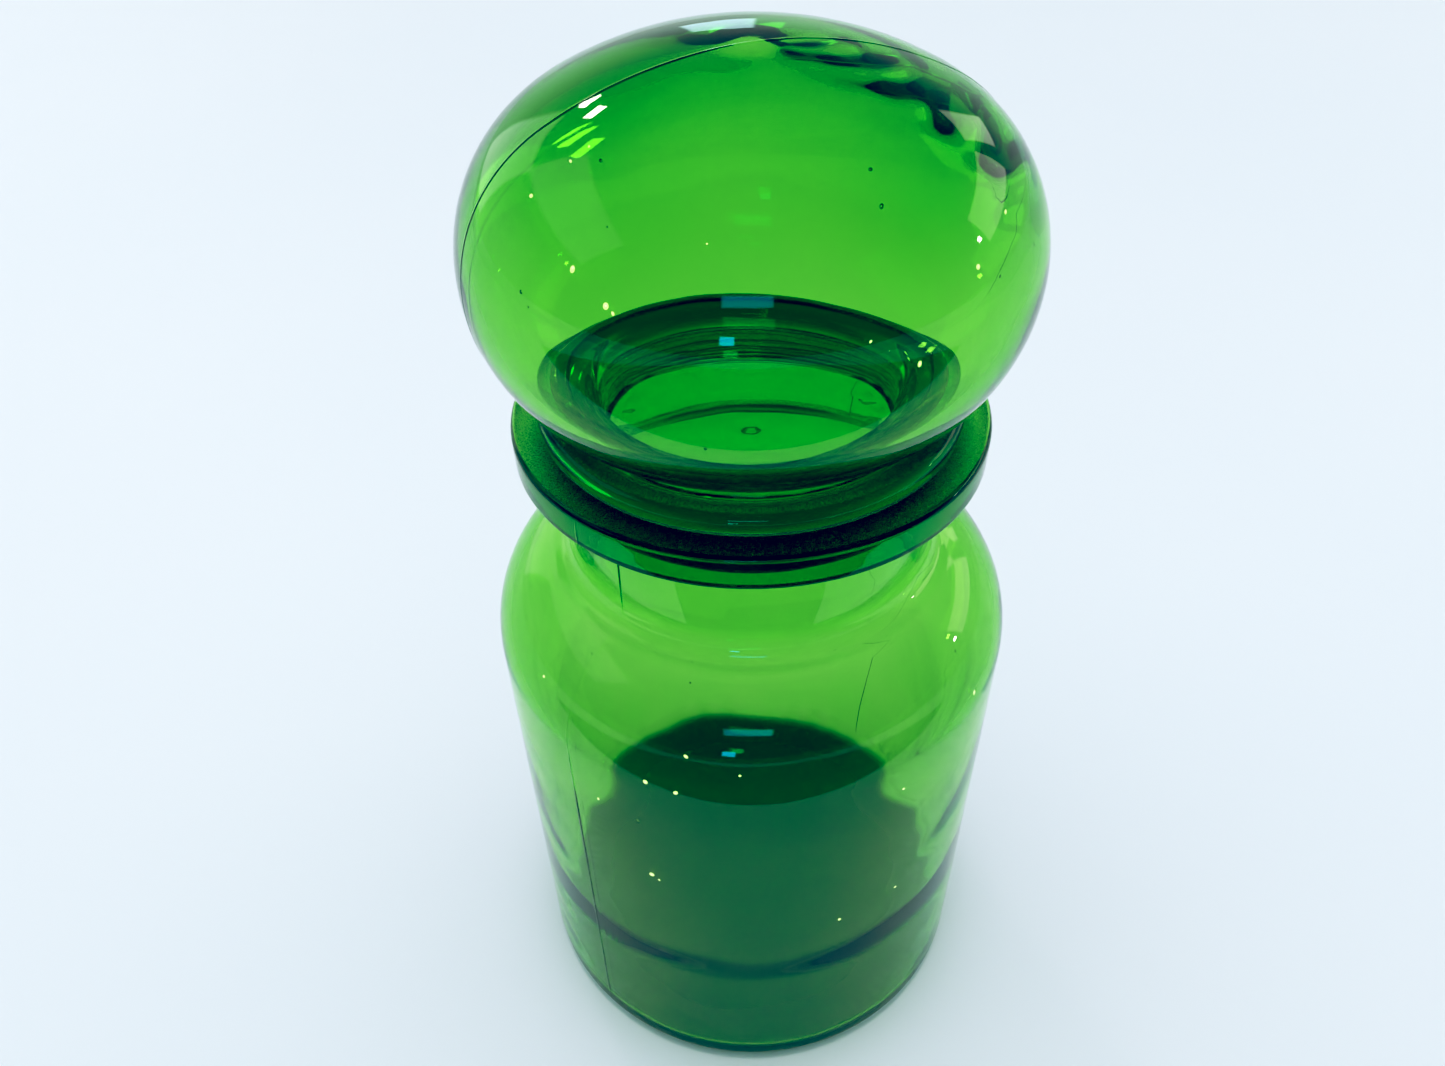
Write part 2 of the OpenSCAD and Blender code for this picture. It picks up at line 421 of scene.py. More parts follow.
# ---------------------------------------------------------------- turned meshes
def outline_normals(points, closed):
    """Unit normals in the (radius, height) plane, pointing to the right of the outline's way."""
    if closed:
        way = np.roll(points, -1, axis=0) - np.roll(points, 1, axis=0)
    else:
        way = np.gradient(points, axis=0)
    way /= np.linalg.norm(way, axis=1, keepdims=True)
    return np.stack([way[:, 1], -way[:, 0]], axis=1)


def distances_along(points):
    """Distance of each point from the first one, along the outline."""
    return np.concatenate([[0], np.cumsum(np.linalg.norm(np.diff(points, axis=0), axis=1))])


def turned_shell(points, angles, relief, twist=None, closed=False):
    """Vertices and faces of one turned surface. relief(r, z, theta, along) moves it along its normal, in mm.
    An open outline starts and ends on the axis, and each end becomes one vertex."""
    normals = outline_normals(points, closed)
    along = distances_along(points)
    rows = points if closed else points[1:-1]
    normals = normals if closed else normals[1:-1]
    along = along if closed else along[1:-1]
    r = rows[:, 0:1]
    z = rows[:, 1:2]
    theta = np.broadcast_to(angles[None, :], (len(rows), len(angles)))
    if twist:
        theta = twist(theta, r)
    height = relief(r, z, theta, along[:, None])
    radius = r + normals[:, 0:1] * height
    level = z + normals[:, 1:2] * height
    grid = np.stack([radius * np.cos(theta), radius * np.sin(theta), level], axis=2)
    verts = grid.reshape(-1, 3)
    n_rows, n_cols = len(rows), len(angles)
    index = np.arange(n_rows * n_cols).reshape(n_rows, n_cols)
    beside = np.roll(index, -1, axis=1)
    last = n_rows if closed else n_rows - 1
    above = np.roll(index, -1, axis=0)
    above_beside = np.roll(beside, -1, axis=0)
    quads = np.stack([index, beside, above_beside, above], axis=2)[:last].reshape(-1, 4)
    faces = quads.tolist()
    if not closed:
        low = len(verts)
        ends = np.array([[0, 0, level[0].mean()], [0, 0, level[-1].mean()]])
        verts = np.concatenate([verts, ends])
        faces += [[low, b, a] for a, b in zip(index[0].tolist(), beside[0].tolist())]
        faces += [[low + 1, a, b] for a, b in zip(index[-1].tolist(), beside[-1].tolist())]
    return verts, faces


def seed_shell(azimuth, r, z, size, stretch, lean):
    """A small stretched air bubble, its faces turned inward because it is a space in the glass. size is its
    half width in mm, stretch its height over its width, and lean its tilt from upright in radians."""
    rings = 8
    sides = 12
    verts = [(0, 0, 1.0)]
    for i in range(1, rings):
        polar = math.pi * i / rings
        for j in range(sides):
            turn = 2 * math.pi * j / sides
            out = math.sin(polar)
            verts.append((out * math.cos(turn), out * math.sin(turn), math.cos(polar)))
    verts.append((0, 0, -1.0))
    faces = []
    end = len(verts) - 1
    for j in range(sides):
        k = (j + 1) % sides
        faces.append([0, 1 + k, 1 + j])
        faces.append([end, end - sides + j, end - sides + k])
        for i in range(rings - 2):
            a = 1 + i * sides
            faces.append([a + j, a + k, a + sides + k, a + sides + j])
    place = (
        Matrix.Rotation(azimuth, 4, "Z")
        @ Matrix.Translation((r, 0, z))
        @ Matrix.Rotation(lean, 4, "X")
        @ Matrix.Diagonal((size * 0.7, size, size * stretch, 1))
    )
    return np.array([place @ Vector(v) for v in verts]), faces


def add_mesh(name, shells, material):
    """One object, in metres, from several shells of (vertices in mm, faces)."""
    verts, faces = [], []
    for shell_verts, shell_faces in shells:
        first = sum(len(v) for v in verts)
        verts.append(shell_verts)
        faces += [[first + i for i in f] for f in shell_faces]
    mesh = bpy.data.meshes.new(name)
    mesh.from_pydata((np.concatenate(verts) * MM).tolist(), [], faces)
    mesh.polygons.foreach_set("use_smooth", [True] * len(mesh.polygons))
    mesh.materials.append(material)
    mesh.update()
    piece = bpy.data.objects.new(name, mesh)
    bpy.context.scene.collection.objects.link(piece)
    return piece


# ---------------------------------------------------------------- materials
class Nodes:
    """Short ways to add and join the nodes of one material."""

    def __init__(self, name):
        self.material = bpy.data.materials.new(name)
        self.material.use_nodes = True
        self.tree = self.material.node_tree
        self.tree.nodes.clear()
        self.output = self.add("ShaderNodeOutputMaterial")

    def add(self, kind, **settings):
        """A new node of a kind, with its settings."""
        node = self.tree.nodes.new(kind)
        for key, value in settings.items():
            setattr(node, key, value)
        return node

    def join(self, source, target):
        """Links an output to an input."""
        self.tree.links.new(source, target)

    def value(self, socket, number):
        """Sets a socket to a plain number, or links it to another node's output."""
        if isinstance(number, bpy.types.NodeSocket):
            self.join(number, socket)
        else:
            socket.default_value = number

    def math(self, operation, a, b=0.0):
        node = self.add("ShaderNodeMath", operation=operation)
        self.value(node.inputs[0], a)
        self.value(node.inputs[1], b)
        return node.outputs[0]

    def remap(self, source, low, high, to_low, to_high):
        """A smooth step from to_low, where the source is low, to to_high, where it is high."""
        node = self.add("ShaderNodeMapRange", interpolation_type="SMOOTHSTEP")
        self.join(source, node.inputs["Value"])
        node.inputs["From Min"].default_value = low
        node.inputs["From Max"].default_value = high
        node.inputs["To Min"].default_value = to_low
        node.inputs["To Max"].default_value = to_high
        return node.outputs["Result"]

    def noise(self, scale, stretch=(1, 1, 1), detail=2.0, rough=0.5):
        """Noise in the piece's own space, of about scale waves per metre."""
        place = self.add("ShaderNodeTexCoord")
        mapping = self.add("ShaderNodeMapping")
        mapping.inputs["Scale"].default_value = stretch
        self.join(place.outputs["Object"], mapping.inputs["Vector"])
        node = self.add("ShaderNodeTexNoise")
        node.inputs["Scale"].default_value = scale
        node.inputs["Detail"].default_value = detail
        node.inputs["Roughness"].default_value = rough
        self.join(mapping.outputs["Vector"], node.inputs["Vector"])
        return node.outputs["Fac"]

    def height(self):
        """Height in the piece's own space, in metres."""
        place = self.add("ShaderNodeTexCoord")
        split = self.add("ShaderNodeSeparateXYZ")
        self.join(place.outputs["Object"], split.inputs["Vector"])
        return split.outputs["Z"]

    def mix_colour(self, factor, a, b):
        """Colour a where the factor is 0 and colour b where it is 1."""
        node = self.add("ShaderNodeMix", data_type="RGBA")
        self.value(node.inputs["Factor"], factor)
        node.inputs[6].default_value = (*a, 1)
        node.inputs[7].default_value = (*b, 1)
        return node.outputs[2]

    def bump(self, height, strength, distance):
        """Normals that follow a height, whose full range stands for the distance in metres."""
        node = self.add("ShaderNodeBump")
        node.inputs["Distance"].default_value = distance
        self.value(node.inputs["Strength"], strength)
        self.join(height, node.inputs["Height"])
        return node.outputs["Normal"]


glass_ior = 1.52
glass_tint = (0.745, 0.924, 0.53)
glass_density = 900.0
glass_bump = 0.03
ground_bump = 0.55
ground_soft = 0.0001
ground_depth = 0.00002
foot_rough = 0.55
foot_dull_z = 0.0006


def green_glass(name, ground_z=None, foot_z=None):
    """Clear green glass with faint cords, waves and handling marks. Above ground_z it is ground and speckled,
    and below foot_z it is dulled where it stands, both in metres."""
    n = Nodes(name)
    shader = n.add("ShaderNodeBsdfPrincipled")
    shader.inputs["IOR"].default_value = glass_ior
    shader.inputs["Transmission Weight"].default_value = 1.0
    cords = n.noise(90, (1.0, 1.0, 0.25), 2)
    shade = n.remap(cords, 0.3, 0.7, 0.0, 1.0)
    n.join(n.mix_colour(shade, (0.97, 1.0, 0.96), (1.0, 1.0, 1.0)), shader.inputs["Base Color"])
    smudges = n.remap(n.noise(38, detail=4, rough=0.65), 0.52, 0.74, 0.0, 0.02)
    waves = n.noise(140, (1.0, 1.0, 0.45), 1)
    rough = smudges
    strength = glass_bump
    surface = waves
    if ground_z:
        ground_low = ground_z - ground_depth - ground_soft
        ground = n.remap(n.height(), ground_low, ground_z - ground_depth, 0.0, 1.0)
        speckle = n.noise(2600, detail=3, rough=0.7)
        ground_rough = n.math("MULTIPLY", ground, n.remap(speckle, 0.3, 0.7, 0.2, 0.42))
        rough = n.math("MAXIMUM", smudges, ground_rough)
        strength = n.remap(ground, 0.0, 1.0, glass_bump, ground_bump)
        grain = n.math("MULTIPLY", n.math("SUBTRACT", speckle, waves), ground)
        surface = n.math("ADD", waves, grain)
    if foot_z:
        foot = n.remap(n.height(), foot_z / 2, foot_z, foot_rough, 0.0)
        rough = n.math("MAXIMUM", rough, foot)
    n.join(rough, shader.inputs["Roughness"])
    n.join(n.bump(surface, strength, 0.0004), shader.inputs["Normal"])
    body = n.add("ShaderNodeVolumeAbsorption")
    body.inputs["Color"].default_value = (*glass_tint, 1)
    body.inputs["Density"].default_value = glass_density
    n.join(shader.outputs["BSDF"], n.output.inputs["Surface"])
    n.join(body.outputs["Volume"], n.output.inputs["Volume"])
    return n.material


def milky_plastic():
    """Thin natural polyethylene, which light passes: clouded, satin and faintly mottled."""
    n = Nodes("milky_plastic")
    shader = n.add("ShaderNodeBsdfPrincipled")
    shader.inputs["IOR"].default_value = 1.51
    shader.inputs["Transmission Weight"].default_value = 0.94
    cloud = n.remap(n.noise(260, detail=3), 0.3, 0.7, 0.0, 1.0)
    n.join(n.mix_colour(cloud, (0.54, 0.68, 0.60), (0.60, 0.73, 0.66)), shader.inputs["Base Color"])
    n.join(n.remap(n.noise(900, detail=2), 0.3, 0.7, 0.08, 0.16), shader.inputs["Roughness"])
    n.join(n.bump(n.noise(900, detail=1), 0.05, 0.0002), shader.inputs["Normal"])
    n.join(shader.outputs["BSDF"], n.output.inputs["Surface"])
    return n.material


def silvery_seed():
    """Glinting gas bubbles. A faint glow stands for the lamp light that such a bubble gathers."""
    n = Nodes("silvery_seed")
    shader = n.add("ShaderNodeBsdfPrincipled")
    shader.inputs["IOR"].default_value = 1.5
    shader.inputs["Metallic"].default_value = 1.0
    grain = n.remap(n.noise(1500, detail=2), 0.3, 0.7, 0.0, 1.0)
    n.join(n.mix_colour(grain, (0.92, 0.96, 0.86), (1.0, 1.0, 0.94)), shader.inputs["Base Color"])
    shader.inputs["Roughness"].default_value = 0.12
    shader.inputs["Emission Color"].default_value = (0.92, 1.0, 0.62, 1)
    shader.inputs["Emission Strength"].default_value = 1.1
    n.join(shader.outputs["BSDF"], n.output.inputs["Surface"])
    return n.material


def pale_floor():
    """Plain matt off-white surface with a trace of unevenness."""
    n = Nodes("pale_floor")
    shader = n.add("ShaderNodeBsdfPrincipled")
    shader.inputs["IOR"].default_value = 1.4
    cloud = n.remap(n.noise(3, detail=3), 0.3, 0.7, 0.0, 1.0)
    n.join(n.mix_colour(cloud, (0.82, 0.865, 0.90), (0.835, 0.875, 0.905)), shader.inputs["Base Color"])
    shader.inputs["Roughness"].default_value = 0.5
    n.join(shader.outputs["BSDF"], n.output.inputs["Surface"])
    return n.material


# ---------------------------------------------------------------- pieces: the jar
def settle_wave(theta, z):
    """Extra thickness of the wall where the glass settled in the mould, below about settle_z. Its upper edge
    runs round the front, is fainter at its middle and wanders a little in height."""
    across_front = facing(theta, -90, 78)
    faint = 1 - 0.3 * facing(theta, -97, 26)
    level = settle_z + settle_wander * np.cos(1.5 * np.radians(turned_from(theta, -50)))
    return settle_t * across_front * faint * (1 - smooth(level - settle_half, level + settle_half, z))


def corner_knurl(r, z, theta):
    """Uneven corner where the wall meets the floor at the back, pressed over the knurled foot."""
    at_corner = band(inner_r - floor_corner_r, inner_r + 1, 2.0, r) * band(floor_t, floor_t + 4, 3.0, z)
    return corner_knurl_t * ripple(15, (22, 48), (200, 300))(theta, z) * at_corner * facing(theta, 90, 80)


def jar_skin_height(r, z, theta, along):
    """Outer surface: a ridge along the neck's crease, faint waviness, mould seams and the knurled foot."""
    at_crease = bump(r, crease_ridge_r, 0.5) * band(crease_low_z, crease_high_z, 1, z)
    ridge = crease_ridge_t * at_crease * facing(theta, -90, 110, 6)
    wave = skin_wave_t * ripple(13, (2, 9), (20, 60))(theta, along) * band(4, flange_low_z, 4, z)
    seam_t = sum(t * band(low, high, soft, z) for low, high, soft, t in jar_seam_stretches)
    on_foot = band(kick_r + 1.2, body_r - heel_r - 0.4, 0.6, r) * (z < foot_high_z)
    knurl = foot_knurl_t * (0.5 + 0.5 * np.cos(foot_knurls * theta)) * on_foot
    return ridge + wave + seam_t * jar_seam_height(r, theta) - knurl


def jar_inner_height(r, z, theta, along):
    """Inner surface: blown ripples below the flange, a thicker shoulder, the settled wall and its corner."""
    wave = inner_wave_t * ripple(11, (1, 5), (35, 90))(theta, along)
    fine_wave = inner_fine_wave_t * ripple(12, (5, 14), (14, 40))(theta, along)
    below_flange = 1 - band(flange_low_z - 12, jar_h + 1, 6, z)
    swell = shoulder_swell_t * band(body_h - 4, body_h + 12, 14, z) * (r > bore_r + 1)
    settled = settle_wave(theta, z) * smooth(inner_r - floor_corner_r, inner_r, r)
    return (wave + fine_wave) * below_flange + swell + settled + corner_knurl(r, z, theta)


jar_points = jar_outline()
mouth_edge = int(np.argmax(jar_points[:, 1] - 1e-3 * jar_points[:, 0]))
outside_length = distances_along(jar_points)[mouth_edge]


def jar_relief(r, z, theta, along):
    """Glass that is added to the jar's plain turned shape, in mm."""
    outside = along < outside_length
    inner_height = jar_inner_height(r, z, theta, along) * smooth(0, 6, r)
    return np.where(outside, jar_skin_height(r, z, theta, along), inner_height)


def small_seeds_in_jar():
    """Small bubbles in the jar's side."""
    draw = random.Random(21)
    shells = []
    for _ in range(small_jar_seeds):
        azimuth = draw.uniform(0, 2 * math.pi)
        r = body_r - wall * draw.uniform(0.35, 0.65)
        z = draw.uniform(15, body_h - 4)
        size = draw.uniform(0.2, 0.42)
        stretch = draw.uniform(1.0, 1.9)
        lean = draw.uniform(-0.3, 0.3)
        shells.append(seed_shell(azimuth, r, z, size, stretch, lean))
    return shells


def add_jar(material):
    """The jar, with the small bubbles in its side."""
    glass = turned_shell(jar_points, columns(360, jar_seam, body_r), jar_relief)
    return add_mesh("glass_jar", [glass, *small_seeds_in_jar()], material)


# ---------------------------------------------------------------- pieces: the stopper
def skin_relief(r, z, theta, along):
    """Glass that faint waviness and the mould seam add to the stopper's outer surface, in mm."""
    wave = bulb_skin_wave_t * ripple(31, (1, 6), (25, 70))(theta, along)
    on_bulb = smooth(collar_z + 6, collar_z + 14, z) * smooth(0, 8, r)
    seam = bulb_seam_t * bulb_seam_height(r, theta) * smooth(bulb_z - 20, bulb_z - 8, z)
    return wave * on_bulb + seam


def bulb_thickening(theta, z, along):
    """Extra thickness of the bulb's wall in mm: two swells, the whole crown, and streaks high on one side."""
    extra = crown_t * smooth(bulb_z + 2, bulb_z + 31, z)
    for azimuth, half_turn, centre_z, half_z, thickness in bulb_swells:
        extra = extra + thickness * facing(theta, azimuth, half_turn, 2) * bump(z, centre_z, half_z)
    streaks = 1 + 0.5 * ripple(44, (5, 14), (8, 18))(theta, along)
    return extra + streak_t * streaks * facing(theta, 0, 32, 2) * bump(z, bulb_z + 21, 9)


def hollow_relief(r, z, theta, along):
    """How far the blown inner surface lies outside its plain turned shape, in mm. It is gentle in the bulb,
    rougher in the throat, scalloped around the throat's floor and dimpled at its middle."""
    throat = band(throat_floor_z - 1, collar_z + 4, 3, z)
    throat_side = smooth(throat_r - 6, throat_r - 1, r)
    near_floor = band(throat_floor_z - 1, throat_floor_z + 3, 1.5, z)
    at_corner = band(throat_r - 3.5, throat_r + 1, 1.5, r) * near_floor
    height = bulb_wave_t * ripple(41, (1, 4), (30, 80))(theta, along) * (1 - throat)
    height = height - bulb_thickening(theta, z, along)
    height = height + throat_wave_t * ripple(42, (2, 12), (4, 8))(theta, along) * throat * throat_side
    height = height + scallop_t * ripple(43, (12, 34), (30, 60))(theta, along) * at_corner
    dimple = dimple_t * bump(r, 0, dimple_r, 6) * (z < throat_floor_z + 2)
    return height * smooth(0, 6, r) - dimple


def small_seeds_in_stopper():
    """Small bubbles in the bulb's rounded side."""
    draw = random.Random(51)
    middle_r = bulb_side_r - bulb_wall / 2
    shells = []
    for _ in range(small_stopper_seeds):
        way = math.radians(draw.uniform(-40, 70))
        r = bulb_side_x + middle_r * math.cos(way)
        z = bulb_z + middle_r * math.sin(way)
        azimuth = draw.uniform(0, 2 * math.pi)
        size = draw.uniform(0.15, 0.34)
        stretch = draw.uniform(1.0, 1.8)
        lean = draw.uniform(-0.5, 0.5)
        shells.append(seed_shell(azimuth, r, z, size, stretch, lean))
    return shells


def add_stopper(material):
    """The stopper's outer skin and the closed space inside it, with the small bubbles in the bulb's wall."""
    skin = turned_shell(stopper_skin(), columns(340, bulb_seam, bulb_r), skin_relief, follow_bulb_seam)
    verts, faces = turned_shell(stopper_hollow(), columns(300, 0.0, bulb_r), hollow_relief)
    hollow = (verts, [f[::-1] for f in faces])
    return add_mesh("glass_stopper", [skin, hollow, *small_seeds_in_stopper()], material)


# ---------------------------------------------------------------- pieces: the seeds that glint
def jar_wall_middle(z):
    """Radius of the middle of the jar's wall, on its side or shoulder, at a height."""
    middle_r = shoulder_r - wall / 2
    lift = math.asin(max(0, z - body_h) / middle_r)
    return shoulder_x + middle_r * math.cos(lift)


def bulb_wall_middle(z):
    """Radius of the middle of the bulb's wall, on its side or top cap, at a height."""
    middle_r = bulb_side_r - bulb_wall / 2
    cap_way = math.radians(angle_to((0, top_cap_z), (bulb_side_x, bulb_z)))
    lift = math.asin((z - bulb_z) / middle_r)
    if lift < cap_way:
        return bulb_side_x + middle_r * math.cos(lift)
    return math.sqrt((cap_r - bulb_wall / 2) ** 2 - (z - top_cap_z) ** 2)


def add_glints(name, seed, glints, wall_middle, material):
    """The larger bubbles of one glass piece, with their faces turned outward."""
    draw = random.Random(seed)
    shells = []
    for azimuth, z, half in glints:
        stretch = draw.uniform(0.8, 1.6)
        lean = draw.uniform(-0.9, 0.9)
        verts, faces = seed_shell(math.radians(azimuth), wall_middle(z), z, half, stretch, lean)
        shells.append((verts, [f[::-1] for f in faces]))
    return add_mesh(name, shells, material)


# ---------------------------------------------------------------- pieces: the sealing ring
def ring_relief(r, z, theta, along):
    """The moulded ring is nearly true: the tips of its ribs waver a little."""
    wave = ripple(61, (2, 9), (3, 9))
    at_tips = band(sleeve_low_z, jar_h - 1, 0.5, z) * smooth(rib_root_r, rib_root_r + 0.4, r)
    return -rib_waver_t * (1 + wave(theta, along)) * at_tips


def add_ring(material):
    """The sealing ring, turned from its closed section."""
    angles = np.radians(np.arange(0, 360, 1.5))
    shell = turned_shell(ring_outline(), angles, ring_relief, closed=True)
    return add_mesh("sealing_ring", [shell], material)


# ---------------------------------------------------------------- stage, lights and camera, in metres
floor_gap = 0.00004
floor_r = 6.0
floor_sides = 96


def add_floor():
    """A wide disc, so that its edge is far outside the main view."""
    angles = np.linspace(0, 2 * math.pi, floor_sides, False)
    verts = [(floor_r * math.cos(a), floor_r * math.sin(a), -floor_gap) for a in angles]
    mesh = bpy.data.meshes.new("floor")
    mesh.from_pydata(verts, [], [list(range(floor_sides))])
    mesh.materials.append(pale_floor())
    floor = bpy.data.objects.new("floor", mesh)
    bpy.context.scene.collection.objects.link(floor)


class WorldNodes:
    """Short ways to build the surroundings from the direction that light comes from."""

    def __init__(self, name):
        world = bpy.data.worlds.new(name)
        world.use_nodes = True
        self.tree = world.node_tree
        self.tree.nodes.clear()
        place = self.tree.nodes.new("ShaderNodeTexCoord")
        self.way = place.outputs["Generated"]
        bpy.context.scene.world = world

    def link(self, socket, value):
        """Sets a socket to a plain value, or links it to another node's output."""
        if isinstance(value, bpy.types.NodeSocket):
            self.tree.links.new(value, socket)
        else:
            socket.default_value = value

    def math(self, operation, a, b=0.0):
        node = self.tree.nodes.new("ShaderNodeMath")
        node.operation = operation
        self.link(node.inputs[0], a)
        self.link(node.inputs[1], b)
        return node.outputs[0]

    def dot(self, direction):
        """How far the light's direction goes along the given one."""
        node = self.tree.nodes.new("ShaderNodeVectorMath")
        node.operation = "DOT_PRODUCT"
        self.link(node.inputs[0], self.way)
        node.inputs[1].default_value = direction
        return node.outputs["Value"]

    def step(self, value, low, high):
        """Smooth step from 0 at low to 1 at high."""
        node = self.tree.nodes.new("ShaderNodeMapRange")
        node.interpolation_type = "SMOOTHSTEP"
        self.link(node.inputs["Value"], value)
        node.inputs["From Min"].default_value = low
        node.inputs["From Max"].default_value = high
        return node.outputs["Result"]

    def blend(self, factor, a, b):
        """a + factor * (b - a) for plain numbers a and b."""
        return self.math("ADD", self.math("MULTIPLY", factor, b - a), a)

    def panel(self, azimuth, elevation, width, height, soft):
        """1 inside a soft-edged rectangle of the surroundings, all in degrees."""
        turn = math.radians(azimuth)
        lift = math.radians(elevation)
        out = math.cos(lift)
        ahead = Vector((out * math.cos(turn), out * math.sin(turn), math.sin(lift)))
        beside = Vector((-math.sin(turn), math.cos(turn), 0))
        above = ahead.cross(beside)
        forward = self.dot(ahead)
        inside = self.step(forward, 0.0, 0.2)
        for way, size in ((beside, width), (above, height)):
            reach = math.tan(math.radians(size / 2))
            edge = math.tan(math.radians(soft))
            slope = self.math("DIVIDE", self.dot(way), self.math("MAXIMUM", forward, 0.05))
            off = self.math("ABSOLUTE", slope)
            inside = self.math("MULTIPLY", inside, self.step(off, reach + edge, reach))
        return inside

    def light(self, strength, colour):
        """Light of one colour from the surroundings."""
        node = self.tree.nodes.new("ShaderNodeBackground")
        node.inputs["Color"].default_value = (*colour, 1)
        self.link(node.inputs["Strength"], strength)
        return node.outputs["Background"]

    def finish(self, lights):
        """Adds all the lights up into the surroundings."""
        total = lights[0]
        for light in lights[1:]:
            both = self.tree.nodes.new("ShaderNodeAddShader")
            self.tree.links.new(total, both.inputs[0])
            self.tree.links.new(light, both.inputs[1])
            total = both.outputs[0]
        output = self.tree.nodes.new("ShaderNodeOutputWorld")
        self.tree.links.new(total, output.inputs["Surface"])


daylight = (0.88, 0.94, 1.0)
low_level = 0.75
overhead_level = 0.25
near_level = 0.07

# Azimuth, elevation, width, height and softness in degrees, then strength and colour
window_panels = (
    (26, 18, 28, 13, 1.0, 1.4, (1.0, 1.0, 0.92)),
    (52, 20, 9, 12, 1.0, 1.4, (1.0, 1.0, 0.92)),
    (8, 15, 1.6, 1.6, 0.4, 30.0, (1.0, 1.0, 1.0)),
    (119, 29, 3.2, 3.0, 0.4, 20.0, (1.0, 1.0, 1.0)),
    (122, 35, 3.2, 2.2, 0.4, 20.0, (1.0, 1.0, 1.0)),
    (134, 14, 20, 26, 2, 0.8, (0.9, 1.0, 1.0)),
    (172, 40, 46, 18, 3, 0.6, (0.85, 1.0, 1.0)),
    (93, 9, 6, 9, 0.8, 1.6, (0.55, 0.9, 1.0)),
    (-91, 30, 16, 5.0, 1.5, 4.5, (0.02, 0.6, 1.0)),
    (-98, 8, 4.0, 4.0, 1, 11.0, (0.05, 0.6, 1.0)),
)


def add_world():
    """A pale studio: bright low down at the back and sides, dimmer overhead and dark behind the camera, with
    soft panels of light."""
    w = WorldNodes("studio")
    up = w.dot((0, 0, 1))
    away = w.dot((0, 1, 0))
    over = w.blend(w.step(up, 0.05, 0.6), low_level, overhead_level)
    near = w.blend(w.step(away, -0.5, 0.3), near_level, 1.0)
    lights = [w.light(w.math("MULTIPLY", over, near), daylight)]
    for azimuth, elevation, width, height, soft, strength, colour in window_panels:
        inside = w.panel(azimuth, elevation, width, height, soft)
        lights.append(w.light(w.math("MULTIPLY", inside, strength), colour))
    w.finish(lights)


def add_fill(name, strength, spread, shadow):
    """A wide sun lamp straight above, for the floor. It isn't seen in glossy or transmitted light, so it adds
    no spots to the glass."""
    light = bpy.data.lights.new(name, "SUN")
    light.energy = strength
    light.angle = math.radians(spread)
    light.color = daylight
    light.use_shadow = shadow
    lamp = bpy.data.objects.new(name, light)
    lamp.visible_glossy = False
    lamp.visible_transmission = False
    bpy.context.scene.collection.objects.link(lamp)


def add_reflection_shade():
    """A dark card on the floor in front, seen only as a reflection in the glass: painted shade in the glass's
    reflections. It blocks no light and no other ray sees it.
    """
    near = -0.135
    far = -1.5
    half = 0.6
    above = 0.001
    corners = [(-half, near, above), (half, near, above), (half, far, above), (-half, far, above)]
    mesh = bpy.data.meshes.new("reflection_shade_sheet")
    mesh.from_pydata(corners, [], [[0, 1, 2, 3]])
    shade_material = bpy.data.materials.new("painted_reflection_shade")
    shade_material.use_nodes = True
    shader = shade_material.node_tree.nodes["Principled BSDF"]
    # Painted shade: this near-black colour darkens only what the glass reflects.
    shader.inputs["Base Color"].default_value = (0.02, 0.03, 0.035, 1)
    shader.inputs["Roughness"].default_value = 0.9
    mesh.materials.append(shade_material)
    reflection_shade_sheet = bpy.data.objects.new("reflection_shade_sheet", mesh)
    reflection_shade_sheet.visible_camera = False
    reflection_shade_sheet.visible_diffuse = False
    reflection_shade_sheet.visible_transmission = False
    reflection_shade_sheet.visible_shadow = False
    bpy.context.scene.collection.objects.link(reflection_shade_sheet)


camera_place = (0, -0.1748, 0.28025)
camera_lens = 27.34


def add_camera():
    """Held close above the jar's front, looking down at it. Its angles are in radians."""
    yaw = -0.0333
    pitch = 0.7196
    roll = -0.0222
    level = math.cos(pitch)
    ahead = Vector((math.sin(yaw) * level, math.cos(yaw) * level, -math.sin(pitch)))
    right = Vector((math.cos(yaw), -math.sin(yaw), 0))
    up = right.cross(ahead)
    x_axis = right * math.cos(roll) + up * math.sin(roll)
    y_axis = up * math.cos(roll) - right * math.sin(roll)
    data = bpy.data.cameras.new("camera")
    data.sensor_width = 36.0
    data.lens = camera_lens
    data.clip_start = 0.01
    camera = bpy.data.objects.new("camera", data)
    place = Matrix((x_axis, y_axis, -ahead)).transposed().to_4x4()
    place.translation = camera_place
    camera.matrix_world = place
    bpy.context.scene.collection.objects.link(camera)
    bpy.context.scene.camera = camera


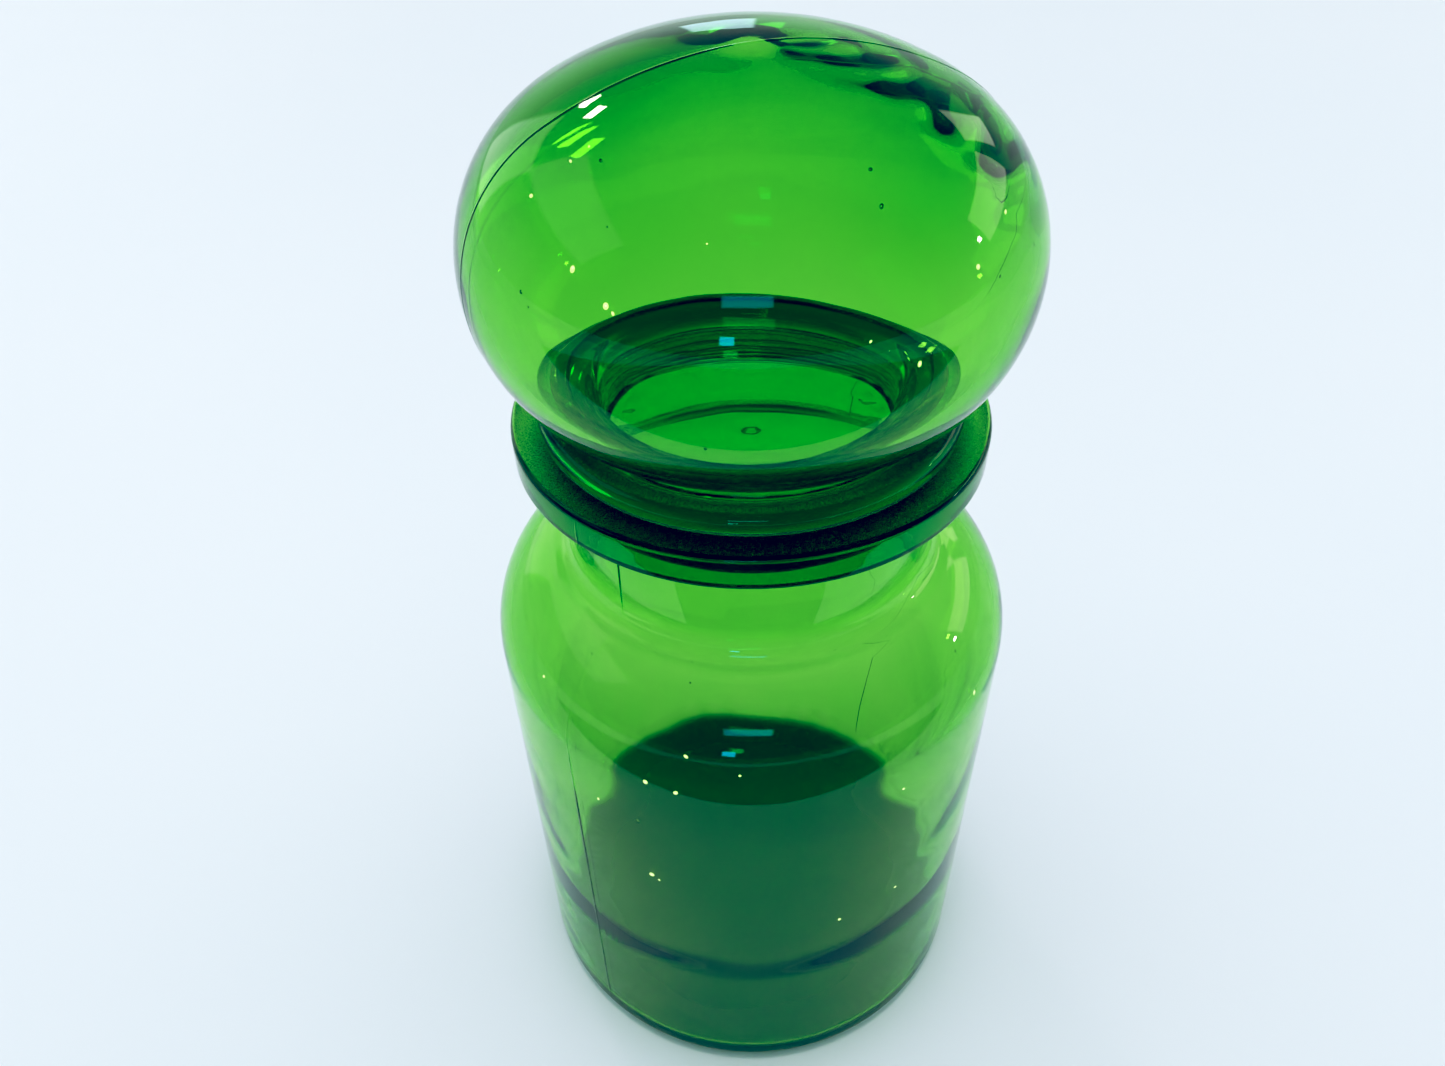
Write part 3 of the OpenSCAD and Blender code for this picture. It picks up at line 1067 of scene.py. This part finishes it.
# The camera's deep, cool shadows: levels in and out, for red, green and blue
tone_curves = (
    (
        (0.0, 0.0), (0.075, 0.002), (0.115, 0.04), (0.15, 0.07),
        (0.22, 0.14), (0.4, 0.39), (0.75, 0.80), (1.0, 1.0),
    ),
    (
        (0.0, 0.0), (0.03, 0.003), (0.07, 0.03), (0.14, 0.095),
        (0.25, 0.22), (0.45, 0.49), (0.80, 0.84), (1.0, 1.0),
    ),
    (
        (0.0, 0.010), (0.06, 0.035), (0.14, 0.08), (0.30, 0.25),
        (0.5, 0.5), (0.80, 0.84), (1.0, 1.0),
    ),
)


def set_scene():
    """Enough bounces for light to cross many layers of glass, and the tone curves."""
    scene = bpy.context.scene
    scene.cycles.max_bounces = 32
    scene.cycles.transmission_bounces = 32
    scene.cycles.glossy_bounces = 12
    scene.cycles.diffuse_bounces = 4
    scene.view_settings.view_transform = "Standard"
    scene.view_settings.use_curve_mapping = True
    curves = scene.view_settings.curve_mapping
    for curve, stops in zip(curves.curves, tone_curves):
        while len(curve.points) < len(stops):
            curve.points.new(0.5, 0.5)
        for point, place in zip(curve.points, stops):
            point.location = place
    curves.update()


# ---------------------------------------------------------------- the scene
set_scene()
add_camera()
add_world()
add_floor()
add_fill("fill_above", 0.7, 14, True)
add_fill("fill_even", 1.2, 80, False)
add_fill("fill_wide", 0.6, 120, True)
# Painted shade in the glass's reflections, from a sheet that only glossy rays see.
add_reflection_shade()

jar = add_jar(green_glass("jar_glass", jar_h * MM, foot_dull_z))
stopper = add_stopper(green_glass("stopper_glass"))
ring = add_ring(milky_plastic())
silver = silvery_seed()
jar_seeds = add_glints("jar_seeds", 71, jar_glints, jar_wall_middle, silver)
stopper_seeds = add_glints("stopper_seeds", 72, stopper_glints, bulb_wall_middle, silver)
for piece, node, body, slot in (
    (jar, "jar", "jar", "jar_glass"),
    (jar_seeds, "jar", "jar", "jar_glass"),
    (stopper_seeds, "stopper", "stopper", "stopper_glass"),
    (stopper, "stopper", "stopper", "stopper_glass"),
    (ring, "seal_ring", "seal", "seal_plastic"),
):
    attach(piece, body)
    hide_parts(node)
